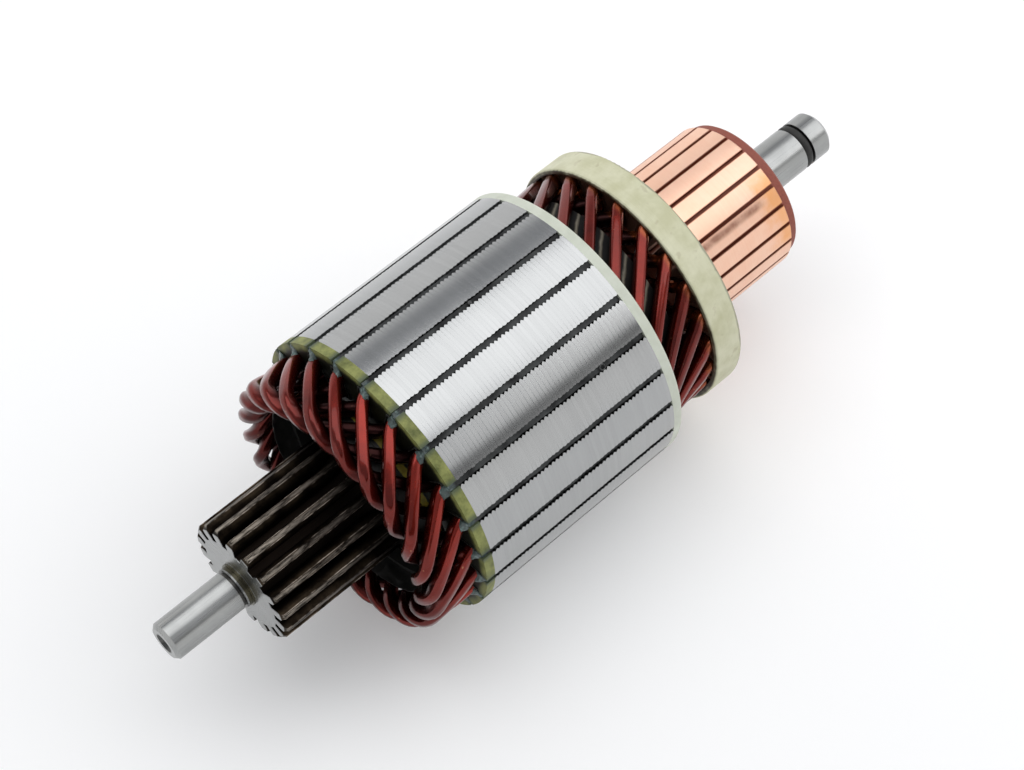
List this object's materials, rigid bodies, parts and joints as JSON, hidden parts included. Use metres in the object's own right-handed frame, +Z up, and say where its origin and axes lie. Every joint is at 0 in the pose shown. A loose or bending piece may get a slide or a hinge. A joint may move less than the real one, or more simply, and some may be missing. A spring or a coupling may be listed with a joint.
{
  "type": "starter motor armature",
  "caption": "Rotor of a geared starter motor: slotted iron core with a copper hairpin winding, a shaft with an integral pinion, and a banded commutator.",
  "frame": {"origin": "on the shaft's axis, half way along the shaft", "axes": "+X along the shaft towards the commutator end, +Z up, +Y across"},
  "size_m": [0.1844, 0.066, 0.066],
  "materials": {
    "shaft_steel": "ground steel, with a dark oiled pinion",
    "core_steel": "turned silicon steel with fine lamination lines",
    "glass_disc": "satin fibreglass laminate",
    "white_moulding": "matt moulding",
    "liner_paper": "varnished paper",
    "band_glass": "satin glass-fibre band set in resin",
    "phenolic": "matt phenolic moulding",
    "enamelled_copper": "glossy red-brown enamel and varnish on copper",
    "commutator_copper": "turned bare copper",
    "black_rubber": "satin black rubber"
  },
  "bodies": {
    "root": {"shaft": "shaft_steel", "lamination_stack": "core_steel", "drive_end_disc": "glass_disc", "commutator_end_ring": "white_moulding", "slot_liners": "liner_paper", "drive_end_layer_ring": "glass_disc", "commutator_end_layer_sleeve": "liner_paper", "banding_ring": "band_glass", "commutator_hub": "phenolic", "rubber_ring": "black_rubber", "hairpin_01": "enamelled_copper", "hairpin_02": "enamelled_copper", "hairpin_03": "enamelled_copper", "hairpin_04": "enamelled_copper", "hairpin_05": "enamelled_copper", "hairpin_06": "enamelled_copper", "hairpin_07": "enamelled_copper", "hairpin_08": "enamelled_copper", "hairpin_09": "enamelled_copper", "hairpin_10": "enamelled_copper", "hairpin_11": "enamelled_copper", "hairpin_12": "enamelled_copper", "hairpin_13": "enamelled_copper", "hairpin_14": "enamelled_copper", "hairpin_15": "enamelled_copper", "hairpin_16": "enamelled_copper", "hairpin_17": "enamelled_copper", "hairpin_18": "enamelled_copper", "hairpin_19": "enamelled_copper", "hairpin_20": "enamelled_copper", "hairpin_21": "enamelled_copper", "hairpin_22": "enamelled_copper", "hairpin_23": "enamelled_copper", "commutator_bar_01": "commutator_copper", "commutator_bar_02": "commutator_copper", "commutator_bar_03": "commutator_copper", "commutator_bar_04": "commutator_copper", "commutator_bar_05": "commutator_copper", "commutator_bar_06": "commutator_copper", "commutator_bar_07": "commutator_copper", "commutator_bar_08": "commutator_copper", "commutator_bar_09": "commutator_copper", "commutator_bar_10": "commutator_copper", "commutator_bar_11": "commutator_copper", "commutator_bar_12": "commutator_copper", "commutator_bar_13": "commutator_copper", "commutator_bar_14": "commutator_copper", "commutator_bar_15": "commutator_copper", "commutator_bar_16": "commutator_copper", "commutator_bar_17": "commutator_copper", "commutator_bar_18": "commutator_copper", "commutator_bar_19": "commutator_copper", "commutator_bar_20": "commutator_copper", "commutator_bar_21": "commutator_copper", "commutator_bar_22": "commutator_copper", "commutator_bar_23": "commutator_copper"}
  },
  "joints": []
}
